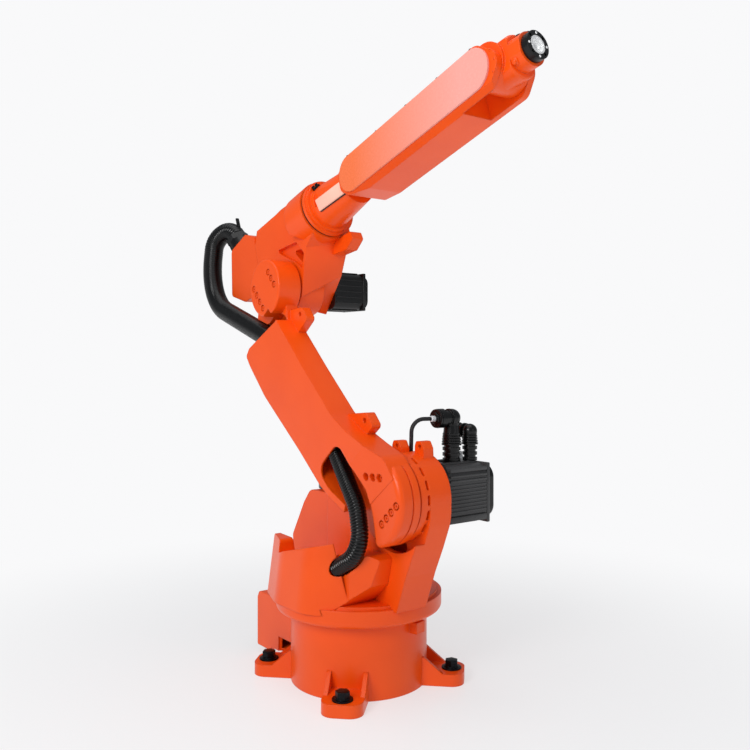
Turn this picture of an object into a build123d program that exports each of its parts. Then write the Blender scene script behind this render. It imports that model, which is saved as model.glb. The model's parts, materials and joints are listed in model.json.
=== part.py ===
from build123d import *
from math import cos, pi, radians, sin
import os

os.makedirs("parts", exist_ok=True)

# Axes: +X forward, +Y to the robot's left, +Z up, origin under the first joint's axis.
# All lengths are in millimetres and all angles in degrees.
J2_X = 165.0
J2_Z = 391.0
ARM_LEAN = 42.4
ARM_LENGTH = 566.0
FORE_TILT = 17.0
ELBOW_OFFSET = 134.0
FORE_LENGTH = 690.0
TOOL_TILT = 12.0
TOOL_REACH = 88.0

ARM_ANGLE = 90.0 + ARM_LEAN
J3_X = J2_X + ARM_LENGTH * cos(radians(ARM_ANGLE))
J3_Z = J2_Z + ARM_LENGTH * sin(radians(ARM_ANGLE))
FORE_X = J3_X - ELBOW_OFFSET * sin(radians(FORE_TILT))
FORE_Z = J3_Z + ELBOW_OFFSET * cos(radians(FORE_TILT))
J5_X = FORE_X + FORE_LENGTH * cos(radians(FORE_TILT))
J5_Z = FORE_Z + FORE_LENGTH * sin(radians(FORE_TILT))

# Named clearances: turning faces stay RUN apart, bodies that pass stay PASS apart.
RUN = 0.3
PASS = 5.0

# Base
DRUM_R = 140.0
DRUM_TOP = 141.0
FOOT_R = 191.0
FOOT_END = 217.0
FOOT_HALF = 40.0
FOOT_TOP = 24.0
FOOT_HOLE = 9.0
GUSSET = 9.0
BOX_HALF = 100.0
BOX_REAR = -247.0
BOX_TOP = 138.0
BOX_LOW = 27.0

# Turret
FLANGE_R = 170.0
FLANGE_LOW = DRUM_TOP + PASS
FLANGE_TOP = 180.0
BEARING_R = 128.0
HEAD_R = 84.0
COLUMN_NEAR = -40.0
HEAD_NEAR = -19.0
HEAD_COLLAR = -40.0
HEAD_FAR = 32.0
MOTOR_2_R = 57.0
MOTOR_2_END = 158.0

COLUMN_REAR = -58.0
SLOT_DEEP = 9.0
SLOTS = 9
SKIRT_LOW = 168.0
SKIRT_TIP_X = 86.0
SKIRT_TIP_Y = -146.0

# Lower arm, seen along its own length from the second to the third joint
ARM_NEAR = -105.0
ARM_FAR = -45.0
HUB_R = 87.0
ELBOW_DISC_R = 63.0
HUB_FACE = ARM_NEAR + 13
ARM_PLATE = 4.0
ARM_WEB = 6.0

SCREW_R = 6.5
SCREW_SUNK = 6.0

# Elbow, forearm and wrist, seen along the forearm's own axis
ELBOW_NEAR = -39.0
ELBOW_FAR = 60.0
ROLL_AT = 138.0
ROLL_R = 66.0
FORE_HALF = 50.0
COVER_HALF = 38.0
FORE_LOW = -48.0
COVER_FROM = 306.0
COVER_TO = FORE_LENGTH - 16
SLEEVE_AT = 262.0
FORK_GAP = 33.0
WRIST_R = 39.0
COLLAR_R = 30.0
TOOL_RING_R = 25.0
TOOL_FACE_R = 16.0
TOOL_PCD = 40.0
TOOL_HOLE = 3.0
PILOT_R = 12.5
MOTOR_3_R = 42.0
MOTOR_3_END = 146.0

# Conduits
LOWER_CONDUIT_R = 17.0
UPPER_CONDUIT_R = 24.0

written = []


def save(name, shape):
    """Writes one piece."""
    solid = shape.solids()
    if len(solid) != 1:
        print("PIECE", name, "has", len(solid), "solids")
    export_step(shape, "parts/" + name + ".step")
    written.append(name)


def outline(points):
    """A face through (a, b, corner radius) points."""
    face = make_face(Polyline(*[(p[0], p[1]) for p in points], close=True)).face()
    for a, b, r in points:
        if r > 0:
            corner = face.vertices().sort_by_distance((a, b, 0))[0]
            face = face.fillet_2d(r, [corner])
    return face


def sharp(points):
    """The same points with no rounding."""
    return [(a, b, 0) for a, b in points]


def side_plane(x, z, tilt, y):
    """Sketch plane seen from the near side: first axis along tilt, second to its left."""
    t = radians(tilt)
    return Plane(origin=(x, y, z), x_dir=(cos(t), 0, sin(t)), z_dir=(0, -1, 0))


def side(points, y_near, y_far):
    """Prism of an (x, z, radius) outline between two y values."""
    return extrude(side_plane(0, 0, 0, y_far) * outline(points), y_far - y_near)


def arm_prism(points, y_near, y_far):
    """Prism in the lower arm's frame; points are (along, to the front, radius)."""
    flipped = [(s, -t, r) for s, t, r in points]
    face = side_plane(J2_X, J2_Z, ARM_ANGLE, y_far) * outline(flipped)
    return extrude(face, y_far - y_near)


def fore_prism(points, y_near, y_far):
    """Prism in the forearm's frame; points are (along, above the axis, radius)."""
    face = side_plane(FORE_X, FORE_Z, FORE_TILT, y_far) * outline(points)
    return extrude(face, y_far - y_near)


def disc(x, z, r, y_near, y_far):
    """Round block about a line along Y."""
    return extrude(side_plane(x, z, 0, y_far) * Circle(r), y_far - y_near)


def arm_point(s, t):
    """World x and z of a point in the lower arm's frame."""
    a = radians(ARM_ANGLE)
    return (J2_X + s * cos(a) + t * sin(a), J2_Z + s * sin(a) - t * cos(a))


def fore_point(p, q):
    """World x and z of a point in the forearm's frame."""
    a = radians(FORE_TILT)
    return (FORE_X + p * cos(a) - q * sin(a), FORE_Z + p * sin(a) + q * cos(a))


def arm_spot(s, y, t):
    """World point of the lower arm's frame."""
    x, z = arm_point(s, t)
    return (x, y, z)


def fore_spot(p, y, q):
    """World point of the forearm's frame."""
    x, z = fore_point(p, q)
    return (x, y, z)


def along_fore(p):
    """Plane square to the forearm's axis at p, its second axis upward."""
    a = radians(FORE_TILT)
    x, z = fore_point(p, 0)
    return Plane(origin=(x, 0, z), x_dir=(0, 1, 0), z_dir=(cos(a), 0, sin(a)))


def tool_plane(p):
    """Plane square to the tool axis at p from the fifth joint."""
    a = radians(TOOL_TILT)
    return Plane(
        origin=(J5_X + p * cos(a), 0, J5_Z + p * sin(a)),
        x_dir=(0, 1, 0),
        z_dir=(cos(a), 0, sin(a)),
    )


def rod(plane, r, length):
    """Round bar up from a plane."""
    return extrude(plane * Circle(r), length)


def tube_run(points, bends, r, bore=0):
    """Straight runs joined by tangent arcs, swept with a round section."""
    path = FilletPolyline(*points, radius=bends)
    start = Plane(origin=path @ 0, z_dir=path % 0)
    body = sweep(start * Circle(r), path=path)
    if bore:
        body = body - sweep(start * Circle(bore), path=path)
    section = pi * (r * r - bore * bore)
    share = body.volume / (section * path.length)
    print("RUN length", round(path.length), "share", round(share, 3))
    return body


def foot(angle):
    """One foot with its two gussets and its bolt hole."""
    plan = outline(
        [
            (70, -58, 0),
            (135, -FOOT_HALF, 12),
            (FOOT_END, -FOOT_HALF, 26),
            (FOOT_END, FOOT_HALF, 26),
            (135, FOOT_HALF, 12),
            (70, 58, 0),
        ]
    )
    body = extrude(plan, FOOT_TOP)
    for s in (-1, 1):
        rib = side(
            [(100, FOOT_TOP - 2, 0), (178, FOOT_TOP - 2, 0), (138, 56, 0), (100, 56, 0)],
            0,
            GUSSET,
        )
        y = s * (FOOT_HALF - GUSSET / 2) - GUSSET / 2
        body = body + Pos(0, y, 0) * rib
    body = body - Pos(FOOT_R, 0, 0) * Cylinder(FOOT_HOLE, 80)
    return Rot(0, 0, angle) * body


# Base
base = Pos(0, 0, DRUM_TOP / 2) * Cylinder(DRUM_R, DRUM_TOP)
for k in range(4):
    base = base + foot(45 + 90 * k)
pocket = Pos(0, 0, 50) * Cylinder(DRUM_R - 18, 100)
core = Pos(0, 0, 50) * Cylinder(62, 100)
bore = Pos(0, 0, DRUM_TOP / 2) * Cylinder(44, DRUM_TOP + 2)
base = base - (pocket - core)
base = base - bore
for k in range(8):
    web = Rot(0, 0, 22.5 + 45 * k) * Pos(92, 0, 52) * Box(70, 8, 96)
    base = base + web
base = base + Rot(0, 0, 14) * Pos(DRUM_R + 6, 0, DRUM_TOP - 12) * Box(24, 26, 22)
side_hole = side([(-150, 45, 8), (-80, 45, 8), (-80, 105, 8), (-150, 105, 8)], -40, 40)
base = base - side_hole
save("base_casting", base)

ring = Pos(0, 0, (DRUM_TOP + FLANGE_LOW - RUN) / 2) * Cylinder(
    BEARING_R,
    FLANGE_LOW - RUN - DRUM_TOP,
)
ring = ring - Pos(0, 0, DRUM_TOP) * Cylinder(BEARING_R - 16, 40)
save("base_bearing_ring", ring)

shell = side(
    [
        (BOX_REAR, 18, 4),
        (-192, 18, 4),
        (-184, BOX_LOW, 4),
        (-60, BOX_LOW, 0),
        (-60, BOX_TOP, 0),
        (BOX_REAR + 8, BOX_TOP, 10),
        (BOX_REAR, BOX_TOP - 14, 10),
    ],
    -BOX_HALF,
    BOX_HALF,
)
hollow = Pos((BOX_REAR - 108) / 2, 0, 82) * Box(-108 - BOX_REAR - 16, 2 * BOX_HALF - 14, 100)
shell = shell - hollow - Pos(0, 0, 90) * Cylinder(DRUM_R + RUN, 200)
window = Pos(BOX_REAR, 0, 80) * Box(40, 160, 76)
shell = shell - window
for angle in (135, 225):
    shell = shell - Rot(0, 0, angle) * Pos(100, 0, 0) * Box(160, 2 * (FOOT_HALF + 1), 2 * 58)
save("base_connector_box", shell)

plate = Pos(BOX_REAR - 3, 0, 80) * Box(6, 176, 92)
plate = fillet(plate.edges().filter_by(Axis.X), 8)
save("base_connector_plate", plate)

rear = Plane(origin=(BOX_REAR - 6, 0, 0), x_dir=(0, -1, 0), z_dir=(-1, 0, 0))
motor_plug = extrude(rear * Pos(48, 92) * RectangleRounded(62, 40, 5), 26)
motor_plug = motor_plug + extrude(rear * Pos(48, 92) * RectangleRounded(70, 48, 6), 10)
save("base_motor_plug", motor_plug)
data_plug = extrude(rear * Pos(-40, 92) * Circle(19), 12)
data_plug = data_plug + extrude(rear * Pos(-40, 92) * Circle(15), 30)
data_plug = data_plug - extrude(rear.offset(14) * Pos(-40, 92) * Circle(12), 20)
save("base_data_plug", data_plug)
air = extrude(rear * Pos(-52, 56) * RegularPolygon(10, 6), 8)
air = air + extrude(rear * Pos(-52, 56) * Circle(7), 22)
air = air - extrude(rear.offset(8) * Pos(-52, 56) * Circle(3.5), 20)
save("base_air_port", air)

# Turret
flange = Pos(0, 0, (FLANGE_LOW + FLANGE_TOP) / 2) * Cylinder(FLANGE_R, FLANGE_TOP - FLANGE_LOW)
flange = fillet(flange.edges().sort_by(Axis.Z)[0], 9)
flange = flange + Pos(0, 0, FLANGE_TOP) * Cylinder(FLANGE_R - 8, 12)
column = side(
    [
        (J2_X - 15, FLANGE_TOP - 4, 0),
        (J2_X + 11, FLANGE_TOP - 4, 0),
        (J2_X + 38, J2_Z - 143, 30),
        (J2_X + 61, J2_Z - 93, 80),
        (J2_X + HEAD_R - 1, J2_Z - 39, 80),
        (J2_X + HEAD_R, J2_Z, 0),
        (J2_X, J2_Z, 0),
        (J2_X - 105, J2_Z + 9, 30),
        (COLUMN_REAR, J2_Z - 19, 0),
        (COLUMN_REAR, FLANGE_TOP - 4, 0),
    ],
    COLUMN_NEAR,
    HEAD_FAR,
)
head = disc(J2_X, J2_Z, HEAD_R, HEAD_COLLAR, HEAD_FAR)
crown = side(
    [
        (J2_X - 90, J2_Z - 71, 0),
        (J2_X + HEAD_R - 1, J2_Z - 39, 30),
        (J2_X + HEAD_R, J2_Z, 0),
        (J2_X, J2_Z + HEAD_R, 0),
        (J2_X - 15, J2_Z + HEAD_R - 1, 0),
        (J2_X - 105, J2_Z + 11, 30),
    ],
    HEAD_NEAR,
    HEAD_FAR,
)
casting = flange + column + crown
casting = casting - disc(J2_X, J2_Z, HUB_R + 16, -60, HEAD_NEAR)
casting = casting + head
EAR_TOP = J2_Z + 106
EAR_HOLE = 4.0
for x, y_near, y_far in ((J2_X + 25, 4, 28), (J2_X - 15, HEAD_NEAR, 2)):
    ear_outline = [
        (x - 14, EAR_TOP - 45, 0),
        (x + 14, EAR_TOP - 45, 0),
        (x + 12, EAR_TOP - 13, 6),
        (x + 4, EAR_TOP, 5),
        (x - 10, EAR_TOP, 5),
        (x - 14, EAR_TOP - 9, 5),
    ]
    ear = side(ear_outline, y_near, y_far)
    casting = casting + ear - disc(x, EAR_TOP - 10, EAR_HOLE, y_near - 5, y_far + 5)
for k in range(SLOTS):
    at = 60 - 19 * k
    a = radians(at)
    middle = (J2_X + HEAD_R * cos(a), HEAD_NEAR - 3, J2_Z + HEAD_R * sin(a))
    outward = Plane(origin=middle, x_dir=(-sin(a), 0, cos(a)), z_dir=(cos(a), 0, sin(a)))
    casting = casting - extrude(outward.offset(-SLOT_DEEP) * SlotOverall(19, 6), 2 * SLOT_DEEP)
cavity = side(
    [
        (COLUMN_REAR + 14, 196, 10),
        (120, 196, 10),
        (184, 300, 10),
        (150, 330, 10),
        (COLUMN_REAR + 14, 340, 10),
    ],
    COLUMN_NEAR + 14,
    HEAD_FAR - 12,
)
casting = casting - cavity - Pos(0, 0, 168) * Cylinder(60, 60)
for y in (COLUMN_NEAR + 10, HEAD_FAR - 10):
    brace = side(
        [(COLUMN_REAR, FLANGE_TOP, 0), (120, FLANGE_TOP, 0), (110, 240, 60), (COLUMN_REAR, 260, 0)],
        y - 5,
        y + 5,
    )
    casting = casting + brace

# The side cover wraps the flange, leans inward as it rises and takes in the conduit.
plan = outline(
    [
        (-60, ARM_NEAR - 1, 0),
        (-152, ARM_NEAR - 1, 14),
        (-132, -142, 26),
        (-44, -174, 90),
        (60, -172, 70),
        (SKIRT_TIP_X, SKIRT_TIP_Y, 6),
        (126, ARM_NEAR - 1, 0),
    ]
)
skirt = Pos(0, 0, SKIRT_LOW) * extrude(plan, 150, taper=7)
roof = side(
    [
        (-260, 120, 0),
        (230, 120, 0),
        (230, 330, 0),
        (92, 303, 12),
        (-38, 270, 10),
        (-60, 262, 0),
        (-62, 288, 8),
        (-120, 290, 8),
        (-122, 252, 6),
        (-150, 250, 6),
        (-152, 216, 4),
        (-260, 212, 0),
    ],
    -230,
    -PASS + ARM_NEAR,
)
skirt = skirt & roof
inner = side(
    [
        (-168, SKIRT_LOW, 10),
        (-176, 196, 10),
        (57, 259, 10),
        (84, 280, 12),
        (148, 284, 8),
        (163, 276, 5),
        (150, 226, 0),
        (92, SKIRT_LOW, 0),
    ],
    -PASS + ARM_NEAR,
    COLUMN_NEAR - RUN,
)
front = SKIRT_TIP_X - SKIRT_TIP_Y
wedge = Pos(0, 0, 100) * extrude(
    outline(
        [(-400, -400, 0), (front - 400, -400, 0), (400, 400 - front, 0), (-400, 400 - front, 0)]
    ),
    300,
)
skirt = (skirt + inner) & wedge
under = side(
    [
        (SKIRT_TIP_X - 6, 100, 0),
        (SKIRT_TIP_X, SKIRT_LOW, 0),
        (148, 224, 0),
        (187, 240, 0),
        (260, 200, 0),
        (260, 100, 0),
    ],
    -230,
    0,
)
skirt = skirt - under
room = Pos(0, 0, SKIRT_LOW - 1) * extrude(
    outline(
        [
            (-138, -112, 6),
            (-122, -134, 14),
            (-44, -162, 60),
            (52, -160, 50),
            (84, -132, 6),
            (88, -112, 0),
        ]
    ),
    70,
    taper=7,
)
skirt = skirt - room

wing = side(
    [
        (COLUMN_REAR - RUN, FLANGE_TOP + 6 + RUN, 0),
        (-196, FLANGE_TOP + 6 + RUN, 6),
        (-205, 262, 14),
        (-158, 340, 30),
        (-132, 371, 26),
        (COLUMN_REAR - RUN, 371, 0),
    ],
    HEAD_NEAR - 15,
    HEAD_FAR + 40,
)
wing = wing - side(
    [(-70, 196, 6), (-186, 196, 6), (-192, 258, 6), (-148, 332, 6), (-70, 352, 6)],
    -20,
    HEAD_FAR + 28,
)
wing = wing - skirt
save("turret_rear_housing", wing)

motor_1 = rod(Plane(origin=(-118, 26, 371), z_dir=(0, 0, 1)), 40, 46)
motor_1 = fillet(motor_1.edges().sort_by(Axis.Z)[-1], 8)
save("j1_motor_cap", motor_1)

motor = extrude(
    side_plane(J2_X, J2_Z, 0, MOTOR_2_END) * RectangleRounded(2 * MOTOR_2_R, 2 * MOTOR_2_R, 24),
    MOTOR_2_END - HEAD_FAR - 12,
)
save("j2_motor_body", motor)
cap = extrude(
    side_plane(J2_X, J2_Z, 0, MOTOR_2_END + 18) * RectangleRounded(
        2 * MOTOR_2_R - 8,
        2 * MOTOR_2_R - 8,
        26,
    ),
    18,
)
cap = fillet(cap.faces().sort_by(Axis.Y)[-1].edges(), 6)
save("j2_motor_cap", cap)
motor_seat = extrude(
    side_plane(J2_X, J2_Z, 0, HEAD_FAR + 12) * RectangleRounded(
        2 * MOTOR_2_R + 14,
        2 * MOTOR_2_R + 14,
        30,
    ),
    12,
)
save("j2_motor_seat", motor_seat)


def angled_plug(x, y, height, stem_r, reach, turn):
    """Angled motor connector: a ringed stem, a knuckle and a short horizontal barrel."""
    top = J2_Z + MOTOR_2_R
    stem = Pos(x, y, top + height / 2) * Cylinder(stem_r - 3, height)
    for z in (5, 16, 27):
        stem = stem + Pos(x, y, top + z) * Cylinder(stem_r, 6)
    across = Plane(
        origin=(x, y, top + height),
        x_dir=(0, 0, 1),
        z_dir=(cos(radians(turn)), sin(radians(turn)), 0),
    )
    barrel = rod(across, stem_r - 3, reach) + rod(across.offset(reach - 18), stem_r + 1, 13)
    plug = stem + Pos(x, y, top + height) * Sphere(stem_r) + barrel
    return plug & Pos(x, y, top + 100) * Box(300, 300, 200)


POWER_Y = 108.0
POWER_TALL = 88.0
POWER_REACH = 42.0
save("j2_power_plug", angled_plug(J2_X, POWER_Y, POWER_TALL, 18, POWER_REACH, -90))
save("j2_signal_plug", angled_plug(J2_X + 8, 150, 60, 15, 50, 180))

LEAD_R = 4.0
LEAD_Z = J2_Z + MOTOR_2_R + POWER_TALL
lead_run = [
    (J2_X - 15, 16, J2_Z + 75),
    (J2_X - 15, 18, LEAD_Z),
    (J2_X, POWER_Y - POWER_REACH - 5 * RUN, LEAD_Z),
]
lead = tube_run(lead_run, [26], LEAD_R)

low_run = [
    (J2_X - 165, -77, J2_Z + 115),
    (J2_X - 36, -97, J2_Z - 17),
    (J2_X - 9, -106, J2_Z - 94),
    (J2_X - 81, -113, J2_Z - 139),
]
LOW_BENDS = [80, 56]
conduit = tube_run(low_run, LOW_BENDS, LOWER_CONDUIT_R)
save("lower_conduit", conduit)
inward = (Vector(*low_run[3]) - Vector(*low_run[2])).normalized()
mouth = Vector(*low_run[2]) + inward * 66
outward = Vector(1, -1, 0).normalized()
outward = (outward - inward * outward.dot(inward)).normalized()
upstream = Plane(origin=mouth, x_dir=outward, z_dir=inward * -1)
sleeve = LOWER_CONDUIT_R + 1.5
skirt = skirt - extrude(upstream * Circle(sleeve), 200) - extrude(upstream * Circle(sleeve), -60)
skirt = skirt - extrude(upstream * Pos(60, 0) * Rectangle(120, 2 * sleeve), 200)
skirt = skirt - tube_run(low_run, LOW_BENDS, LOWER_CONDUIT_R + 1.5)
save("turret_side_cover", skirt)
casting = casting - skirt
save("turret_casting", casting)
lead = lead - casting
save("j2_lead", lead)

# Lower arm
body = arm_prism(
    [
        (-10, 80, 0),
        (30, 89, 40),
        (82, 62, 60),
        (137, 36, 60),
        (191, 19, 90),
        (331, 5, 200),
        (ARM_LENGTH - 92, -6, 0),
        (ARM_LENGTH - 92, -12, 0),
        (ARM_LENGTH - 57, -134, 0),
        (ARM_LENGTH - 61, -156, 8),
        (ARM_LENGTH - 90, -158, 50),
        (384, -153, 120),
        (208, -119, 200),
        (110, -104, 60),
        (0, -70, 0),
    ],
    ARM_NEAR,
    ARM_FAR,
)
hub = disc(J2_X, J2_Z, HUB_R, HUB_FACE, ARM_FAR)
hub = fillet(hub.edges().sort_by(Axis.Y)[0], 12)
groove = disc(J2_X, J2_Z, HUB_R + 5, ARM_FAR - 18, ARM_FAR - 15) - disc(
    J2_X,
    J2_Z,
    HUB_R - 3,
    ARM_FAR - 20,
    ARM_FAR - 10,
)
hub = hub - groove
j3_disc = disc(J3_X, J3_Z, ELBOW_DISC_R, ARM_NEAR + 4, ARM_FAR)
j3_disc = fillet(j3_disc.edges().sort_by(Axis.Y)[0], 4)
cheek_outline = [
    (-106, -8, 0),
    (-88, -6, 0),
    (-42, 24, 30),
    (34, 54, 30),
    (60, -30, 30),
    (-6, -112, 40),
    (-61, -156, 10),
    (-96, -158, 0),
]
cheek = arm_prism(
    [(a + ARM_LENGTH, b, c) for a, b, c in cheek_outline],
    ARM_NEAR + 31,
    ARM_FAR,
)
slope = Plane(
    origin=(J2_X, 0, J2_Z),
    x_dir=(cos(radians(ARM_ANGLE)), 0, sin(radians(ARM_ANGLE))),
    z_dir=(sin(radians(ARM_ANGLE)), 0, -cos(radians(ARM_ANGLE))),
)
ramp = [(80, -ARM_NEAR), (-14, -HUB_FACE), (-14, 20 - ARM_NEAR), (80, 20 - ARM_NEAR)]
body = body - extrude(slope * outline(sharp(ramp)), 130, both=True)
arm = body + hub + j3_disc + cheek
tunnel = arm_prism(
    [
        (60, 20, 20),
        (137, 22, 30),
        (191, 8, 60),
        (331, -6, 100),
        (ARM_LENGTH - 46, -18, 0),
        (ARM_LENGTH - 36, -120, 0),
        (ARM_LENGTH - 96, -146, 40),
        (384, -142, 100),
        (208, -108, 100),
        (60, -78, 30),
    ],
    ARM_NEAR + ARM_PLATE,
    ARM_FAR - ARM_WEB,
)
arm = arm - tunnel
trench = [
    (137, 0, 24),
    (60, 6, 20),
    (20, 6, 20),
    (-32, -18, 20),
    (-100, -60, 0),
    (-100, -110, 0),
    (14, -110, 0),
    (36, -66, 0),
    (92, -84, 10),
    (139, -92, 24),
]
arm = arm - arm_prism(trench, ARM_NEAR - 2, ARM_FAR - ARM_WEB - 5)
high_mouth = [
    (ARM_LENGTH - 92, -12, 0),
    (ARM_LENGTH - 57, -134, 0),
    (ARM_LENGTH - 20, -118, 10),
    (ARM_LENGTH - 66, -6, 20),
]
arm = arm - arm_prism(high_mouth, ARM_NEAR - 2, ARM_FAR - ARM_WEB)
arm = arm - tube_run(low_run, LOW_BENDS, LOWER_CONDUIT_R + RUN)
upper_ear = (ARM_LENGTH - 130, ARM_LENGTH - 60, -10, 42, ARM_LENGTH - 106)
lower_ear = (122, 196, 12, 70, 144)
for s_a, s_b, t_base, t_tip, s_hole in (upper_ear, lower_ear):
    ear_outline = [(s_b, t_base, 0), (s_a + 30, t_tip, 8), (s_a - 4, t_tip, 8), (s_a, t_base, 0)]
    ear = arm_prism(ear_outline, ARM_FAR - 20, ARM_FAR)
    x, z = arm_point(s_hole, t_tip - 15)
    arm = arm + ear - disc(x, z, 5, ARM_FAR - 25, ARM_FAR + 5)
# The conduit's corners: from the gland down behind the elbow, then into the arm's upper mouth.
high_run = [
    fore_spot(-223.1451, -9, 60.7868),
    fore_spot(-242.5271, -19, 127.3626),
    fore_spot(-299.485, -42, 115.4971),
    fore_spot(-347.5924, -58, -35.0143),
    arm_spot(ARM_LENGTH - 95.6458, -76, -70.1993),
]
upper = tube_run(high_run, [36, 46, 128], UPPER_CONDUIT_R)
arm = arm - tube_run(high_run[2:], [128], UPPER_CONDUIT_R + 1.5)
for s_a in (345, 390, 435):
    front = -4 - s_a * 0.03
    back = -96 - s_a * 0.1
    rib_outline = [(s_a, front), (s_a + 8, front), (s_a + 8, back), (s_a, back)]
    rib = arm_prism(sharp(rib_outline), ARM_FAR, ARM_FAR + 5)
    arm = arm + rib
shoulder_screws = [(37 - 12 * k, 25 + 14 * k) for k in range(3)] + [(-50, -3 + 19 * k) for k in range(4)]
elbow_screws = [(ARM_LENGTH - 24 + 19 * k, 35) for k in range(3)]
elbow_screws = elbow_screws + [(ARM_LENGTH - 28 + 20 * k, -34) for k in range(4)]
for places, face_y in ((shoulder_screws, HUB_FACE), (elbow_screws, ARM_NEAR + 4)):
    for s_at, t_at in places:
        x, z = arm_point(s_at, t_at)
        arm = arm - disc(x, z, SCREW_R + 1, face_y - 20, face_y + SCREW_SUNK)
save("lower_arm_casting", arm)

gear = disc(J2_X, J2_Z, 66, ARM_FAR, HEAD_COLLAR - RUN)
save("j2_gear_unit", gear)
gear = disc(J3_X, J3_Z, 54, ARM_FAR, ELBOW_NEAR - RUN)
save("j3_gear_unit", gear)

# Elbow
near_face = [
    (-112, 20),
    (-94, 50),
    (60, 50),
    (ROLL_AT - 6, 30),
    (ROLL_AT - 6, -54),
    (97, -72),
    (48, -170),
    (-44, -150),
    (-112, -80),
]
far_face = [
    (-112, 20),
    (-90, 46),
    (60, 46),
    (ROLL_AT - 6, 30),
    (ROLL_AT - 6, -56),
    (122, -62),
    (73, -124),
    (-11, -186),
    (-112, -96),
]
ends = []
for y, ring_of in ((ELBOW_NEAR, near_face), (ELBOW_FAR, far_face)):
    ends.append(side_plane(FORE_X, FORE_Z, FORE_TILT, y) * outline(sharp(ring_of)))
near_part = loft(ends, ruled=True)
top_part = fore_prism(
    [
        (-112, 20, 0),
        (-96, 62, 14),
        (-10, 68, 30),
        (ROLL_AT - 20, 60, 0),
        (ROLL_AT - 20, -40, 0),
        (-112, -60, 0),
    ],
    ELBOW_NEAR + 20,
    ELBOW_FAR - 24,
)
housing = near_part + top_part + disc(J3_X, J3_Z, 57, ELBOW_NEAR, ELBOW_NEAR + 60)
barrel = rod(along_fore(70), ROLL_R, ROLL_AT - 70)
housing = housing + barrel
scoop = disc(J3_X, J3_Z, 122, ELBOW_NEAR - 60, ELBOW_NEAR)
housing = housing - scoop
window = fore_prism(
    [(-24, -31, 4), (62, -45, 6), (85, -80, 6), (68, -112, 4), (46, -86, 30), (10, -60, 20)],
    ELBOW_NEAR - 5,
    ELBOW_NEAR + 10,
)
housing = housing - window
window = fore_prism(
    [(30, -54, 5), (64, -62, 6), (74, -82, 5), (64, -98, 4), (50, -78, 20)],
    ELBOW_NEAR,
    ELBOW_NEAR + 34,
)
housing = housing - window
save("elbow_housing", housing)

box = fore_prism(
    [
        (-112 - RUN, 44, 6),
        (-150, 66, 14),
        (-228, 56, 14),
        (-258, -54, 10),
        (-196, -92, 10),
        (-112 - RUN, -92, 0),
    ],
    ELBOW_NEAR,
    42,
)
box = box - fore_prism(
    [(-126, 20, 6), (-214, 42, 8), (-240, -46, 8), (-190, -74, 8), (-126, -74, 6)],
    ELBOW_NEAR + 8,
    50,
)
lid = fore_prism(
    [
        (-118, 40, 6),
        (-150, 62, 14),
        (-224, 52, 14),
        (-254, -52, 10),
        (-194, -88, 10),
        (-118, -88, 6),
    ],
    42,
    47,
)
save("elbow_box_lid", lid)

gland_dir = (Vector(*high_run[1]) - Vector(*high_run[0])).normalized()
gland_at = Plane(origin=Vector(*high_run[0]) - gland_dir * 10, z_dir=gland_dir)
gland = extrude(gland_at * Circle(UPPER_CONDUIT_R + 3), 34)
gland = gland + extrude(gland_at.offset(34) * RegularPolygon(UPPER_CONDUIT_R + 5, 6), 14)
gland = gland - extrude(gland_at.offset(-5) * Circle(UPPER_CONDUIT_R + RUN), 80)
save("upper_conduit_gland", gland)
save("upper_conduit", upper)
box = box - extrude(gland_at.offset(-20) * Circle(UPPER_CONDUIT_R + 3 + RUN), 54)
save("elbow_rear_box", box)

motor = extrude(
    side_plane(J3_X, J3_Z, 0, MOTOR_3_END) * RectangleRounded(2 * MOTOR_3_R, 2 * MOTOR_3_R, 20),
    MOTOR_3_END - ELBOW_FAR,
)
save("j3_motor_body", motor)
cap = extrude(
    side_plane(J3_X, J3_Z, 0, MOTOR_3_END + 10) * RectangleRounded(
        2 * MOTOR_3_R - 10,
        2 * MOTOR_3_R - 10,
        18,
    ),
    10,
)
save("j3_motor_cap", cap)

roll = rod(along_fore(ROLL_AT), ROLL_R - 5, 5)
save("roll_seal_ring", roll)
stop = fore_prism(
    [(104, -50, 0), (128, -60, 0), (178, -64, 4), (182, -82, 4), (154, -96, 6), (104, -88, 0)],
    26,
    54,
)
stop = stop - housing
save("roll_stop_block", stop)

# Forearm
NECK_AT = ROLL_AT + 5 + RUN
neck = rod(along_fore(NECK_AT), ROLL_R - 3, 8)
neck = neck + rod(along_fore(NECK_AT + 8), ROLL_R - 8, 7)
neck = neck + loft([along_fore(NECK_AT + 15) * Circle(50), along_fore(SLEEVE_AT) * Circle(40)])
flat = fore_prism(
    [(NECK_AT + 24, -12, 0), (SLEEVE_AT, -4, 0), (SLEEVE_AT, 36, 0), (NECK_AT + 24, 36, 0)],
    -80,
    -42,
)
neck = neck - flat
save("forearm_neck", neck)

sleeve = fore_prism(
    [
        (SLEEVE_AT, -20, 16),
        (SLEEVE_AT + 22, -40, 20),
        (SLEEVE_AT + 74, FORE_LOW, 30),
        (FORE_LENGTH - 60, FORE_LOW, 0),
        (FORE_LENGTH + 10, FORE_LOW, 20),
        (FORE_LENGTH + 48, -6, 28),
        (FORE_LENGTH, 38, 26),
        (SLEEVE_AT + 34, 38, 0),
        (SLEEVE_AT, 16, 10),
    ],
    -FORE_HALF + 4,
    FORE_HALF - 4,
)
bevel_cut = extrude(
    Plane(
        origin=(FORE_X, 0, FORE_Z),
        x_dir=(0, 1, 0),
        z_dir=(cos(radians(FORE_TILT)), 0, sin(radians(FORE_TILT))),
    )
    * outline(
        sharp(
            [
                (-FORE_HALF, -60),
                (-FORE_HALF, -COVER_HALF),
                (-FORE_HALF + 18, FORE_LOW),
                (-FORE_HALF + 18, -60),
            ]
        )
    ),
    FORE_LENGTH + 60,
)
sleeve = sleeve - bevel_cut
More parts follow.
